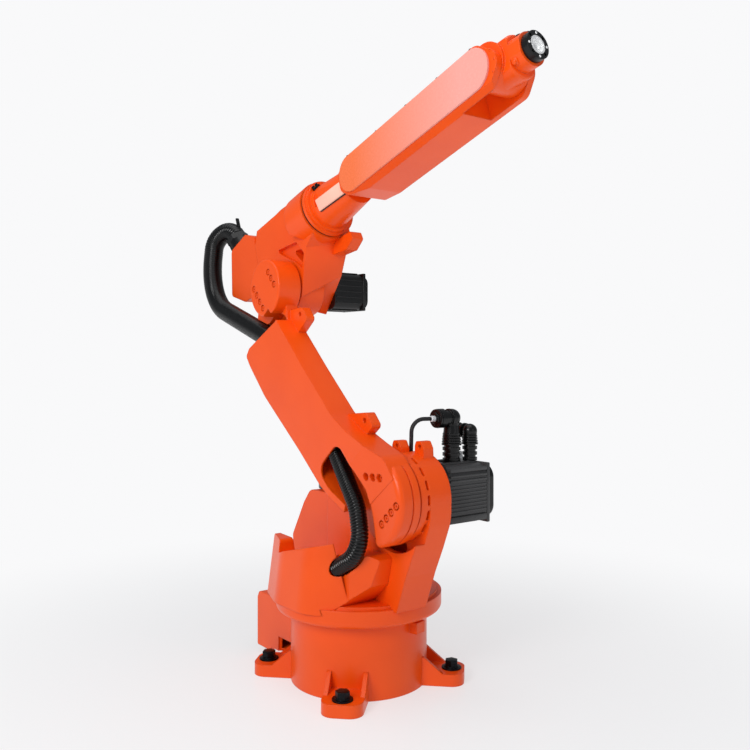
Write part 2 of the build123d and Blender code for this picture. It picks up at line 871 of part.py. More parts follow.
fork = FORE_LENGTH - 70
slot_cut = fore_prism(
    [(fork, -80, 0), (fork + 180, -80, 0), (fork + 180, 80, 0), (fork, 80, 0)],
    -FORK_GAP,
    FORK_GAP,
)
sleeve = sleeve - slot_cut
save("forearm_casting", sleeve)


def stadium(half, y_near, y_far):
    """Cover plate: straight edges with a round at each end, in the forearm's frame."""
    mid = -2.0
    corners = [
        (COVER_FROM, mid - half),
        (COVER_TO, mid - half),
        (COVER_TO, mid + half),
        (COVER_FROM, mid + half),
    ]
    flat_run = fore_prism(sharp(corners), y_near, y_far)
    for p in (COVER_FROM, COVER_TO):
        x, z = fore_point(p, mid)
        flat_run = flat_run + disc(x, z, half, y_near, y_far)
    return flat_run


near_cover = stadium(COVER_HALF - 1, -FORE_HALF, -FORE_HALF + 4)
save("forearm_near_cover", near_cover)
far_cover = stadium(COVER_HALF - 1, FORE_HALF - 4, FORE_HALF)
save("forearm_far_cover", far_cover)

# Wrist
COLLAR_AT = 50.0
RING_AT = TOOL_REACH - 14
pivot = disc(J5_X, J5_Z, WRIST_R + 1, -FORK_GAP + RUN, FORK_GAP - RUN)
barrel = rod(tool_plane(8), WRIST_R, COLLAR_AT - 8)
barrel = fillet(barrel.faces().sort_by_distance(tool_plane(COLLAR_AT).origin)[0].edges(), 5)
barrel = barrel + rod(tool_plane(COLLAR_AT), COLLAR_R, RING_AT - COLLAR_AT)
between = Pos(J5_X, 0, J5_Z) * Box(300, 2 * (FORK_GAP - PASS), 300)
wrist = pivot + (barrel & between)
save("wrist_housing", wrist)

# Tool flange
tool = rod(tool_plane(RING_AT + RUN), TOOL_RING_R, TOOL_REACH - RING_AT - RUN)
tool = tool - rod(tool_plane(TOOL_REACH - 10), TOOL_FACE_R + RUN, 12)
for k in range(4):
    a = radians(45 + 90 * k)
    hole = Pos(TOOL_PCD / 2 * cos(a), TOOL_PCD / 2 * sin(a))
    tool = tool - extrude(tool_plane(TOOL_REACH - 10) * hole * Circle(TOOL_HOLE), 12)
save("tool_ring", tool)
face = rod(tool_plane(TOOL_REACH - 10), TOOL_FACE_R, 10)
face = face - rod(tool_plane(TOOL_REACH - 6), PILOT_R, 10)
save("tool_face", face)

print(len(written), "pieces")
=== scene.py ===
"""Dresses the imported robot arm: enamel, motors, conduits, plugs and fasteners, on a studio stage.

Pieces are shaped in millimetres.
"""

import json
import math

import bmesh
import bpy
from mathutils import Matrix, Vector

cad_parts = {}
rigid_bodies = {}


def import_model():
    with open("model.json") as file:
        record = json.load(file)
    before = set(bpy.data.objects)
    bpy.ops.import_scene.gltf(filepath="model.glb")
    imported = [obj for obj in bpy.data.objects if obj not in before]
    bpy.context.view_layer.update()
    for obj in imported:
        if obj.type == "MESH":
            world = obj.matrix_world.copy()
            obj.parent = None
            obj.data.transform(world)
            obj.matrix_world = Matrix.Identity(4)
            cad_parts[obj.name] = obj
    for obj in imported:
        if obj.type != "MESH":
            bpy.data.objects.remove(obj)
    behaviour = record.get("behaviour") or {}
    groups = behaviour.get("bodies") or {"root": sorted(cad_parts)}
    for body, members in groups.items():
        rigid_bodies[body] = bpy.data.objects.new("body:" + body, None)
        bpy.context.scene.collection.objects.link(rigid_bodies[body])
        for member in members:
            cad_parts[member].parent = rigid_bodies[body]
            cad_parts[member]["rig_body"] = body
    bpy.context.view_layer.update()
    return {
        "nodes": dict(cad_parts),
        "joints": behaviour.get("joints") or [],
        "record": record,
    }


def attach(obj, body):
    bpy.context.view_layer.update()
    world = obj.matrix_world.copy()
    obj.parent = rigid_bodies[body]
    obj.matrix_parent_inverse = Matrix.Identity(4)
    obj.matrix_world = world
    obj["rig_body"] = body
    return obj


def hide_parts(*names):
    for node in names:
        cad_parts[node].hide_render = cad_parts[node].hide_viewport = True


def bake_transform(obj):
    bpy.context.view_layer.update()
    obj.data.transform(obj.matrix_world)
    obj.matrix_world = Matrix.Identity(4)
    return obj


bl_info = {
    "name": "Robot arm dressing",
    "version": (1, 0, 0),
    "blender": (4, 5, 0),
    "location": "View3D > Sidebar > Robot arm",
    "description": "Finishes, fasteners, conduits and stage for a six-axis robot arm",
    "category": "Object",
}

MM = 0.001
TAU = 2 * math.pi

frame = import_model()
JOINTS = {j["name"]: j for j in frame["joints"]}


# Places


def joint_at(name):
    """Where a joint's axis stands at rest."""
    return Vector(JOINTS[name]["pos_m"])


def side_frame(origin, along):
    """Axes for a view from the near side: x along the limb, y to its left, z towards the viewer."""
    x = Vector(along).normalized()
    z = Vector((0, -1, 0))
    y = z.cross(x)
    turn = Matrix((x, y, z)).transposed().to_4x4()
    return Matrix.Translation(origin) @ turn


SHOULDER = joint_at("j2_shoulder")
ELBOW = joint_at("j3_elbow")
ARM = side_frame(SHOULDER, ELBOW - SHOULDER)
FORE = side_frame(joint_at("j4_roll"), JOINTS["j4_roll"]["axis"])
HAND = side_frame(joint_at("j6_tool_roll"), JOINTS["j6_tool_roll"]["axis"])


def moved(at, x, y, z):
    """The same axes, moved along themselves by millimetres."""
    return at @ Matrix.Translation((x * MM, y * MM, z * MM))


def arm_at(s, t, y):
    """A place on the lower arm: along it, to its front, and the height of the face across it."""
    return moved(ARM, s, -t, -y)


def fore_at(p, q, y):
    """A place on the forearm's near side: along it, above its axis, across it."""
    return moved(FORE, p, q, -y)


def across(at):
    """The same place seen from the other side of the limb."""
    return at @ Matrix.Rotation(math.pi, 4, "X")


def facing(point, normal, turn=0.0):
    """Axes at a point whose z looks along a normal."""
    aimed = Vector(normal).normalized().to_track_quat("Z", "Y").to_matrix().to_4x4()
    return Matrix.Translation(Vector(point) * MM) @ aimed @ Matrix.Rotation(turn, 4, "Z")


# Finishes


def linear(hex_colour):
    """sRGB hex to the linear values that Blender's colours hold."""
    parts = [int(hex_colour[i : i + 2], 16) / 255 for i in (0, 2, 4)]
    return [c / 12.92 if c <= 0.04045 else ((c + 0.055) / 1.055) ** 2.4 for c in parts]


def add_node(tree, kind, settings=(), links=()):
    """Adds a node, sets its options and sockets, and links other outputs to its inputs."""
    node = tree.nodes.new(kind)
    for key, value in dict(settings).items():
        if key in node.inputs:
            node.inputs[key].default_value = value
        else:
            setattr(node, key, value)
    for key, output in dict(links).items():
        tree.links.new(output, node.inputs[key])
    return node


def blank_material(name):
    """A material with its shader and the object's own coordinates."""
    material = bpy.data.materials.new(name)
    material.use_nodes = True
    tree = material.node_tree
    shader = tree.nodes["Principled BSDF"]
    place = add_node(tree, "ShaderNodeTexCoord").outputs["Object"]
    return material, tree, shader, place


def noise(tree, place, size):
    """Soft noise whose blotches are about size metres across."""
    settings = {"Scale": 1 / size, "Detail": 2.0}
    return add_node(tree, "ShaderNodeTexNoise", settings, {"Vector": place}).outputs["Fac"]


def two_tones(tree, factor, low, high, start=0.35, end=0.65):
    """A colour that runs between two tones as a pattern goes from start to end."""
    ramp = add_node(tree, "ShaderNodeValToRGB", {}, {"Fac": factor})
    first, last = ramp.color_ramp.elements
    first.position, first.color = start, (*low, 1)
    last.position, last.color = end, (*high, 1)
    return ramp.outputs["Color"]


def ranged(tree, value, start, end, low=0.0, high=1.0, kind="LINEAR"):
    """A number that runs from low to high as a value goes from start to end."""
    settings = {
        "From Min": start,
        "From Max": end,
        "To Min": low,
        "To Max": high,
        "interpolation_type": kind,
    }
    return add_node(tree, "ShaderNodeMapRange", settings, {"Value": value}).outputs["Result"]


def roughened(tree, shader, pattern, low, high):
    """Lets the gloss wander between two values of roughness."""
    tree.links.new(ranged(tree, pattern, 0.3, 0.7, low, high), shader.inputs["Roughness"])


def pressed(tree, shader, pattern, strength, height, soft_edge):
    """Presses a pattern into the surface and rounds hard edges; height and radius in metres."""
    edges = add_node(tree, "ShaderNodeBevel", {"Radius": soft_edge, "samples": 4})
    bump = add_node(
        tree,
        "ShaderNodeBump",
        {"Strength": strength, "Distance": height},
        {"Height": pattern, "Normal": edges.outputs["Normal"]},
    )
    tree.links.new(bump.outputs["Normal"], shader.inputs["Normal"])


def mixed(tree, factor, first, second):
    """Blends two shaders."""
    links = {0: factor, 1: first, 2: second}
    return add_node(tree, "ShaderNodeMixShader", {}, links).outputs["Shader"]


def enamel(name, low, high, grain, rough, deep, soft_edge):
    """Stoved enamel: even colour, faintly clouded, in satin gloss over the skin of the metal."""
    material, tree, shader, place = blank_material(name)
    clouds = noise(tree, place, 0.12)
    tree.links.new(two_tones(tree, clouds, low, high, 0.3, 0.7), shader.inputs["Base Color"])
    skin = noise(tree, place, grain)
    roughened(tree, shader, skin, rough - 0.03, rough + 0.04)
    pressed(tree, shader, skin, deep, 0.0006, soft_edge)
    shader.inputs["IOR"].default_value = 1.5
    shader.inputs["Specular IOR Level"].default_value = 0.3
    shader.inputs["Coat Weight"].default_value = 0.05
    shader.inputs["Coat Roughness"].default_value = 0.16
    return material


def painted_reflection_enamel(name, near_end, far_end):
    """A cover's enamel that pales evenly along the forearm towards the tool, as a painted
    reflection of the white surroundings.
    """
    material = enamel(name, near_end, near_end, 0.006, 0.26, 0.0, 0.0014)
    tree = material.node_tree
    place = add_node(tree, "ShaderNodeTexCoord").outputs["Object"]
    spot = add_node(tree, "ShaderNodeSeparateXYZ", {}, {"Vector": place})
    forward = ranged(tree, spot.outputs["X"], 0.05, 0.36)
    # Painted reflection: the base colour pales along the forearm from the near tone to the far one.
    pale = two_tones(tree, forward, near_end, far_end, 0.0, 1.0)
    tree.links.new(pale, tree.nodes["Principled BSDF"].inputs["Base Color"])
    return material


def moulding(name, low, high, grain, rough, deep, gloss=0.5):
    """Moulded plastic: flat colour with a fine spark-eroded grain."""
    material, tree, shader, place = blank_material(name)
    skin = noise(tree, place, grain)
    tree.links.new(two_tones(tree, skin, low, high), shader.inputs["Base Color"])
    roughened(tree, shader, skin, rough - 0.05, rough + 0.06)
    pressed(tree, shader, skin, deep, 0.0004, 0.001)
    shader.inputs["IOR"].default_value = 1.46
    shader.inputs["Specular IOR Level"].default_value = gloss
    return material


def steel(name, low, high, rough, line, deep=0.05, metal=1.0):
    """Machined steel: fine turning lines give short streaks of gloss."""
    material, tree, shader, place = blank_material(name)
    stretched = add_node(tree, "ShaderNodeMapping", {"Scale": (1, 1, 12)}, {"Vector": place})
    streaks = noise(tree, stretched.outputs["Vector"], line)
    tree.links.new(two_tones(tree, streaks, low, high), shader.inputs["Base Color"])
    roughened(tree, shader, streaks, rough - 0.05, rough + 0.08)
    pressed(tree, shader, streaks, deep, 0.0002, 0.0006)
    shader.inputs["Metallic"].default_value = metal
    return material


# Each finish: its kind, two tones as sRGB hex or as a setting's name, and the kind's own numbers.
RECIPES = {
    # Cast aluminium under stoved enamel: a faint pebbled skin breaks up the gloss.
    "cast_orange_enamel": (enamel, "enamel_shade", "enamel_colour", 0.004, 0.34, 0.1, 0.003),
    # Sheet and machined covers under the same enamel: smoother and glossier.
    "smooth_orange_enamel": (enamel, "enamel_colour", "enamel_shade", 0.006, 0.26, 0.04, 0.0014),
    # Wide forearm cover: orange that pales towards the tool as a painted reflection where it faces
    # the soft light.
    "cover_orange_enamel": (painted_reflection_enamel, "EE7444", "cover_colour"),
    # Painted highlight on the small pad of the neck: a pale tone in place of the sheen on its flat
    # face.
    "pad_orange_enamel": (enamel, "FBC9B6", "F9BCA6", 0.006, 0.24, 0.0, 0.0014),
    # Motor housings in sprayed black: broad satin highlights.
    "black_motor_enamel": (enamel, "motor_colour", "111214", 0.003, 0.3, 0.08, 0.0016),
    # The same black, painted paler on the second motor's long ribbed housing as painted light on
    # its lit side.
    "ribbed_motor_enamel": (enamel, "363637", "424243", 0.003, 0.34, 0.08, 0.0012),
    # Glass-filled nylon of plugs and caps: fine matt grain.
    "black_nylon": (moulding, "060607", "0B0C0D", 0.0014, 0.24, 0.05, 0.4),
    # Extruded polyamide conduit: smooth enough for a line of light along it.
    "conduit_polyamide": (moulding, "040405", "08090A", 0.003, 0.17, 0.02, 0.36),
    # Oil-blackened steel screws: dark with a low metal gleam.
    "black_oxide_steel": (steel, "17181A", "2C2E31", 0.38, 0.004),
    # Ground bearing steel in light oil.
    "ground_steel": (steel, "55585C", "7D8085", 0.3, 0.005),
    # Satin-polished tool face: scatters the studio's white as well as mirroring it.
    "polished_steel": (steel, "F0F1F2", "FAFBFB", 0.24, 0.02, 0.0, 0.45),
    # Frosted cap of the spare socket, and the collar of the lead.
    "frosted_polycarbonate": (moulding, "C9CCCF", "D8DADC", 0.002, 0.3, 0.05),
    # Rubber seals and the lead's sheath: dull and even.
    "seal_rubber": (moulding, "141416", "1E1E21", 0.002, 0.62, 0.1),
}
NODE_FINISH = {
    "forearm_near_cover": "cover_orange_enamel",
    "forearm_far_cover": "smooth_orange_enamel",
    "elbow_box_lid": "smooth_orange_enamel",
    # The second motor's housing takes the paler black that paints the light on its lit side.
    "j2_motor_body": "ribbed_motor_enamel",
    "j2_motor_cap": "black_nylon",
    "j3_motor_cap": "black_nylon",
    "roll_seal_ring": "seal_rubber",
    "j2_lead": "seal_rubber",
}
SLOT_FINISH = {
    "orange_enamel": "cast_orange_enamel",
    "black_enamel": "black_motor_enamel",
    "black_plastic": "black_nylon",
    "bearing_steel": "ground_steel",
    "polished_steel": "polished_steel",
    "conduit_polyamide": "conduit_polyamide",
}
finishes = {}


def tone(colour):
    """A tone from the settings by its name there, or from its sRGB hex."""
    look = bpy.context.scene.arm_finishes
    return list(getattr(look, colour)) if hasattr(look, colour) else linear(colour)


def finish(name):
    """One of the arm's finishes, made the first time it is asked for."""
    if name not in finishes:
        kind, low, high, *numbers = RECIPES[name]
        finishes[name] = kind(name, tone(low), tone(high), *numbers)
    return finishes[name]


def paint(piece, finish_name):
    """Gives a piece one finish."""
    piece.data.materials.clear()
    piece.data.materials.append(finish(finish_name))


# Shapes


def put(name, data):
    """A new object in the scene."""
    thing = bpy.data.objects.new(name, data)
    bpy.context.scene.collection.objects.link(thing)
    return thing


def mesh_from(bm, name):
    """Turns a bmesh into mesh data."""
    mesh = bpy.data.meshes.new(name)
    bm.to_mesh(mesh)
    bm.free()
    return mesh


def piece_from(bm, name, finish_name, body, crease=35.0):
    """Turns a bmesh into a finished piece that rides on a body."""
    bmesh.ops.remove_doubles(bm, verts=bm.verts, dist=1e-6)
    bmesh.ops.recalc_face_normals(bm, faces=bm.faces)
    mesh = mesh_from(bm, name)
    mesh.shade_smooth()
    mesh.set_sharp_from_angle(angle=math.radians(crease))
    piece = put(name, mesh)
    paint(piece, finish_name)
    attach(piece, body)
    return piece


def bevel(bm, edges, width):
    """Rounds edges of a bmesh."""
    bmesh.ops.bevel(
        bm,
        geom=list(edges),
        offset=width * MM,
        offset_type="OFFSET",
        affect="EDGES",
        segments=2,
        profile=0.5,
        material=-1,
        clamp_overlap=True,
    )


def turned(profile, segments=24, at=None):
    """A solid spun round z from (radius, height) pairs. It closes on the axis by itself."""
    bm = bmesh.new()
    verts = [bm.verts.new((r * MM, 0, h * MM)) for r, h in profile]
    edges = [bm.edges.new(pair) for pair in zip(verts, verts[1:])]
    bmesh.ops.spin(
        bm,
        geom=verts + edges,
        cent=(0, 0, 0),
        axis=(0, 0, 1),
        angle=TAU,
        steps=segments,
        use_merge=True,
    )
    bmesh.ops.remove_doubles(bm, verts=bm.verts, dist=1e-7)
    bmesh.ops.recalc_face_normals(bm, faces=bm.faces)
    if at is not None:
        bmesh.ops.transform(bm, matrix=at, verts=bm.verts)
    return bm


def prism(sides, radius, height, edge, at):
    """A straight prism of a regular outline, standing on z 0, with a rounded top edge."""
    bm = bmesh.new()
    bmesh.ops.create_circle(bm, cap_ends=True, radius=radius * MM, segments=sides)
    grown = bmesh.ops.extrude_face_region(bm, geom=bm.faces[:])
    top = [g for g in grown["geom"] if isinstance(g, bmesh.types.BMVert)]
    bmesh.ops.translate(bm, vec=(0, 0, height * MM), verts=top)
    rim = [e for e in bm.edges if all(abs(v.co.z - height * MM) < 1e-7 for v in e.verts)]
    bevel(bm, rim, edge)
    bmesh.ops.transform(bm, matrix=at, verts=bm.verts)
    return bm


def block(size, edge, at):
    """A box centred on its place in x and y and standing on z 0, with rounded edges."""
    bm = bmesh.new()
    bmesh.ops.create_cube(bm, size=MM)
    bmesh.ops.scale(bm, vec=size, verts=bm.verts)
    bmesh.ops.translate(bm, vec=(0, 0, size[2] / 2 * MM), verts=bm.verts)
    bevel(bm, bm.edges, edge)
    bmesh.ops.transform(bm, matrix=at, verts=bm.verts)
    return bm


def merged(parts):
    """One bmesh from several."""
    whole = bmesh.new()
    for part in parts:
        mesh = mesh_from(part, "part")
        whole.from_mesh(mesh)
        bpy.data.meshes.remove(mesh)
    return whole


def cap_screw(at, head_r, head_h, key):
    """Socket head cap screw seen from its head: turned head with a sunk socket."""
    chamfer = 0.5
    side = [(0, -1), (head_r, -1), (head_r, head_h - chamfer), (head_r - chamfer, head_h)]
    bm = turned(side + [(key, head_h)])
    rim = [e for e in bm.edges if e.is_boundary]
    socket = bmesh.ops.extrude_edge_only(bm, edges=rim)
    verts = [g for g in socket["geom"] if isinstance(g, bmesh.types.BMVert)]
    bmesh.ops.translate(bm, vec=(0, 0, -head_h * 0.6 * MM), verts=verts)
    bmesh.ops.holes_fill(bm, edges=[e for e in bm.edges if e.is_boundary], sides=0)
    bmesh.ops.transform(bm, matrix=at, verts=bm.verts)
    return bm


def hex_bolt(at, flats, head_h, washer_r, washer_h):
    """Hexagon bolt with a flange, on a flat washer."""
    washer = prism(32, washer_r, washer_h, 0.6, at)
    flange = prism(28, flats * 0.62, washer_h + 2.5, 0.8, at)
    head = prism(6, flats / math.sqrt(3), washer_h + head_h, 1.2, at)
    return merged([washer, flange, head])


def route_curve(name, corners, bends):
    """A conduit's centre line: straight runs joined by tangent arcs."""
    spots = [Vector(c) * MM for c in corners]
    knots = [(spots[0], (spots[1] - spots[0]).normalized())]
    pulls = []
    for before, corner, after, bend in zip(spots, spots[1:], spots[2:], bends):
        come = (corner - before).normalized()
        leave = (after - corner).normalized()
        turn = come.angle(leave)
        reach = bend * MM * math.tan(turn / 2)
        entry = corner - come * reach
        pulls += [(entry - knots[-1][0]).length / 3, 4 / 3 * math.tan(turn / 4) * bend * MM]
        knots += [(entry, come), (corner + leave * reach, leave)]
    pulls.append((spots[-1] - knots[-1][0]).length / 3)
    knots.append((spots[-1], (spots[-1] - spots[-2]).normalized()))
    data = bpy.data.curves.new(name, "CURVE")
    data.dimensions = "3D"
    data.resolution_u = 24
    spline = data.splines.new("BEZIER")
    spline.bezier_points.add(len(knots) - 1)
    for k, (place, way) in enumerate(knots):
        point = spline.bezier_points[k]
        point.handle_left_type = point.handle_right_type = "FREE"
        point.co = place
        point.handle_left = place - way * (pulls[k - 1] if k else pulls[0])
        point.handle_right = place + way * (pulls[k] if k < len(pulls) else pulls[-1])
    return put(name, data)


def curve_length(curve):
    """Length of a curve's line in metres."""
    line = bpy.data.meshes.new_from_object(curve)
    ends = [[line.vertices[v].co for v in edge.vertices] for edge in line.edges]
    total = sum((a - b).length for a, b in ends)
    bpy.data.meshes.remove(line)
    return total


# One ridge of a conduit: how far along the pitch, and what share of the groove's depth is sunk.
RIDGE = ((0.02, 1), (0.16, 0.3), (0.34, 0), (0.62, 0), (0.8, 0.3), (0.96, 1))


def corrugated(name, corners, bends, radius, pitch, depth, segments):
    """A ridged conduit laid along a route; returns its mesh as a bmesh."""
    curve = route_curve(name + "_route", corners, bends)
    length = curve_length(curve)
    ridges = max(4, round(length / (pitch * MM)))
    step = length / ridges / MM
    profile = [(0, 0)]
    for k in range(ridges):
        profile += [(radius - sunk * depth, k * step + share * step) for share, sunk in RIDGE]
    profile.append((0, ridges * step))
    bm = turned(profile, segments)
    to_x = Matrix.Rotation(math.pi / 2, 3, "Y")
    bmesh.ops.rotate(bm, cent=(0, 0, 0), matrix=to_x, verts=bm.verts)
    straight = put(name + "_straight", mesh_from(bm, name))
    bend = straight.modifiers.new("route", "CURVE")
    bend.object = curve
    bend.deform_axis = "POS_X"
    bpy.context.view_layer.update()
    seen = straight.evaluated_get(bpy.context.evaluated_depsgraph_get())
    laid = bpy.data.meshes.new_from_object(seen)
    bm = bmesh.new()
    bm.from_mesh(laid)
    for spare in (straight, curve):
        bpy.data.objects.remove(spare)
    bpy.data.meshes.remove(laid)
    return bm


# Settings


def colour(label, description, default):
    """A colour setting, with its default as sRGB hex."""
    return bpy.props.FloatVectorProperty(
        name=label,
        description=description,
        subtype="COLOR",
        size=3,
        min=0,
        max=1,
        default=linear(default),
    )


def number(label, description, default, least, most, **more):
    """A number setting with its limits."""
    return bpy.props.FloatProperty(
        name=label, description=description, default=default, min=least, max=most, **more
    )


class ArmFinishSettings(bpy.types.PropertyGroup):
    """Colours of the arm's finishes."""

    enamel_colour: colour("Enamel", "Colour of the orange enamel", "F35408")
    enamel_shade: colour(
        "Enamel shade", "Slightly deeper orange of the enamel's faint clouding", "EC4E07"
    )
    # The pale far end of the cover's painted reflection, not the cover's own colour.
    cover_colour: colour("Cover", "Paler orange of the wide forearm cover", "F0A196")
    motor_colour: colour("Motors", "Black of the motor housings", "0A0B0C")


class ArmFastenerSettings(bpy.types.PropertyGroup):
    """Sizes of the screws and bolts, in millimetres."""

    foot_bolt_across: number("Foot bolt", "Width across the flats of a foot bolt", 24.0, 10, 40)
    foot_washer: number("Foot washer", "Radius of a foot bolt's washer", 20.0, 10, 30)
    joint_screw: number(
        "Joint screw", "Head radius of the screws round the second and third joints", 5.2, 2, 12
    )
    cover_screw: number("Cover screw", "Head radius of the cover screws", 3.6, 1, 8)


class ArmConduitSettings(bpy.types.PropertyGroup):
    """Form of the corrugated conduits, in millimetres."""

    pitch: number("Pitch", "Distance from ridge to ridge", 5.6, 2, 12)
    depth: number("Depth", "Depth of the grooves", 1.9, 0.5, 5)


class ArmStageSettings(bpy.types.PropertyGroup):
    """Floor, lamps and camera."""

    floor_colour: colour("Floor", "Pale floor and backdrop", "F9F9FA")
    lens: number("Lens", "Focal length of the camera, in millimetres", 40.4, 10, 200)
    lamp_power: number("Lamp power", "Power that the lamps share", 30.0, 0, 2000, subtype="POWER")


# Steps


class ARM_OT_paint_nodes(bpy.types.Operator):
    """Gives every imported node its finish"""

    bl_idname = "arm.paint_nodes"
    bl_label = "Paint castings, motors and flange"

    def execute(self, context):
        slots = {s["node"]: s["material_slot"] for s in frame["record"]["subparts"]}
        for name, node in frame["nodes"].items():
            paint(node, NODE_FINISH.get(name, SLOT_FINISH[slots[name]]))
        return {"FINISHED"}


class ARM_OT_foot_bolts(bpy.types.Operator):
    """Hexagon bolts with washers in the four feet"""

    bl_idname = "arm.foot_bolts"
    bl_label = "Foot bolts"

    # The feet's top with a hair's gap, and how high the head and the washer are.
    SEAT = 24.2
    HEAD = 14.0
    WASHER = 3.0

    def execute(self, context):
        sizes = context.scene.arm_fasteners
        pattern = next(m for m in frame["record"]["mounts"] if m["name"] == "base_bolts")
        reach = pattern["dims"]["pcd_mm"] / 2
        bolts = []
        for k in range(4):
            a = math.radians(45 + 90 * k)
            at = facing((reach * math.cos(a), reach * math.sin(a), self.SEAT), (0, 0, 1), a)
            bolts.append(
                hex_bolt(at, sizes.foot_bolt_across, self.HEAD, sizes.foot_washer, self.WASHER)
            )
        piece_from(merged(bolts), "foot_bolts", "black_oxide_steel", "base")
        return {"FINISHED"}


class ARM_OT_joint_screws(bpy.types.Operator):
    """Cap screws on black washers, sunk in the faces of the second and third joints; the washers'
    black paints the shade of the sunk places
    """

    bl_idname = "arm.joint_screws"
    bl_label = "Joint screws"

    # Where the sunk places end across the arm, and the screws along it and to its front.
    SHOULDER_BOTTOM = -86.0
    ELBOW_BOTTOM = -95.0
    SHOULDER_ARC = [(37 - 12 * k, 25 + 14 * k) for k in range(3)]
    SHOULDER_ROW = [(-50, -3 + 19 * k) for k in range(4)]
    ELBOW_FRONT = [(542 + 19 * k, 35) for k in range(3)]
    ELBOW_REAR = [(538 + 20 * k, -34) for k in range(4)]

    def execute(self, context):
        r = context.scene.arm_fasteners.joint_screw
        shoulder = self.SHOULDER_ARC + self.SHOULDER_ROW
        elbow = self.ELBOW_FRONT + self.ELBOW_REAR
        places = [arm_at(s, t, self.SHOULDER_BOTTOM) for s, t in shoulder]
        places += [arm_at(s, t, self.ELBOW_BOTTOM) for s, t in elbow]
        washer = [(r + 1.8, -1), (r + 1.8, 0.8), (r, 1.4), (0, 1.4)]
        # The black washers paint the shade in the sunk places round the screws.
        shade_washers = merged([turned(washer, at=at) for at in places])
        piece_from(shade_washers, "joint_washers", "black_oxide_steel", "lower_arm")
        screws = merged([cap_screw(at, r, 5.0, r * 0.45) for at in places])
        piece_from(screws, "joint_screws", "cast_orange_enamel", "lower_arm")
        return {"FINISHED"}


class ARM_OT_cover_screws(bpy.types.Operator):
    """Screws of the forearm's covers, the fork's noses and the elbow box's lid"""

    bl_idname = "arm.cover_screws"
    bl_label = "Cover screws"

    # Along the forearm, on the covers' top edges: their height above its axis and half width.
    TOP_EDGE = (301, 401, 496, 587, 675)
    TOP_EDGE_HEIGHT = 37.6
    TOP_EDGE_HALF = 42
    # Along the forearm and above its axis, on the outer faces of the fork's tines.
    NOSE = ((717, 10), (722, -9), (714, -28))
    NOSE_FACE = 45.8
    # The same for the lid on the elbow box's far side, and one screw on the elbow's top.
    LID = ((-127, 31), (-152, 52), (-215, 43), (-242, -46), (-191, -78), (-127, -78))
    LID_FACE = 46.8
    ELBOW_TOP = (53, 67.4, 0)

    def upright(self, p, q, y):
        """A place on the forearm that faces up, square to its axis."""
        return facing(fore_at(p, q, y).translation / MM, FORE.to_3x3() @ Vector((0, 1, 0)))

    def execute(self, context):
        r = context.scene.arm_fasteners.cover_screw
        screws = []
        for p in self.TOP_EDGE:
            for y in (-self.TOP_EDGE_HALF, self.TOP_EDGE_HALF):
                at = self.upright(p, self.TOP_EDGE_HEIGHT, y)
                screws.append(cap_screw(at, r, 2.6, r * 0.5))
        nose = []
        for p, q in self.NOSE:
            for at in (fore_at(p, q, -self.NOSE_FACE), across(fore_at(p, q, self.NOSE_FACE))):
                nose.append(cap_screw(at, r * 0.7, 1.0, r * 0.4))
        nose = merged(nose)
        piece_from(nose, "fork_screws", "smooth_orange_enamel", "forearm")
        screws = merged(screws)
        piece_from(screws, "forearm_cover_screws", "black_oxide_steel", "forearm")
        lid = []
        for p, q in self.LID:
            lid.append(cap_screw(across(fore_at(p, q, self.LID_FACE)), r, 2.4, r * 0.5))
        lid.append(cap_screw(self.upright(*self.ELBOW_TOP), r, 3, r * 0.5))
        lid = merged(lid)
        piece_from(lid, "elbow_lid_screws", "black_oxide_steel", "elbow")
        return {"FINISHED"}


class ARM_OT_neck_details(bpy.types.Operator):
    """The black screw block on the forearm's neck, a pale pad as painted highlight and a dark strip
    under it as painted shadow
    """

    bl_idname = "arm.neck_details"
    bl_label = "Neck details"

    # The screw block's place on the neck, as fore_at takes it, and how deep it stands in it.
    BLOCK_AT = (163, 37, -32)
    BLOCK_SIZE = (15, 18, 9)
    BLOCK_SUNK = 4
    # The pad is a pale sheet that paints the highlight on the neck's flat face. It lies on the
    # neck's cone: along it, its turn and taper, and its foot's radius.
    PAD_ALONG = 215
    PAD_TURN = math.radians(15)
    PAD_TAPER = math.radians(4.8)
    PAD_FOOT = 39.5
    PAD_SIZE = (84, 26, 8.5)
    # The dark strip along the pad's edge is painted shadow: its size, and its shift from the pad.
    SHADOW_STRIP_SIZE = (84, 26, 5)
    SHADOW_STRIP_SHIFT = -1.8

    def execute(self, context):
        outward = FORE.to_3x3() @ Vector((0, 0.78, 0.62))
        seat = fore_at(*self.BLOCK_AT).translation / MM - outward * self.BLOCK_SUNK
        block_at = facing(seat, outward)
        parts = [block(self.BLOCK_SIZE, 1.5, block_at)]
        for shift in (-4.5, 4.5):
            parts.append(cap_screw(moved(block_at, 0, shift, self.BLOCK_SIZE[2]), 3.4, 4, 1.6))
        parts = merged(parts)
        piece_from(parts, "neck_screw_block", "black_oxide_steel", "forearm")
        on_cone = fore_at(self.PAD_ALONG, 0, 0) @ Matrix.Rotation(self.PAD_TURN, 4, "X")
        on_cone = on_cone @ Matrix.Rotation(self.PAD_TAPER, 4, "Y")
        # Painted highlight: a pale pad on the neck's flat face.
        pad = block(self.PAD_SIZE, 1.5, moved(on_cone, 0, 0, self.PAD_FOOT))
        piece_from(pad, "neck_pad", "pad_orange_enamel", "forearm")
        # Painted shadow: a dark strip along the pad's edge.
        rim = block(self.SHADOW_STRIP_SIZE, 0.6, moved(on_cone, 0, self.SHADOW_STRIP_SHIFT, self.PAD_FOOT))
        piece_from(rim, "neck_pad_seal", "seal_rubber", "forearm")
        return {"FINISHED"}


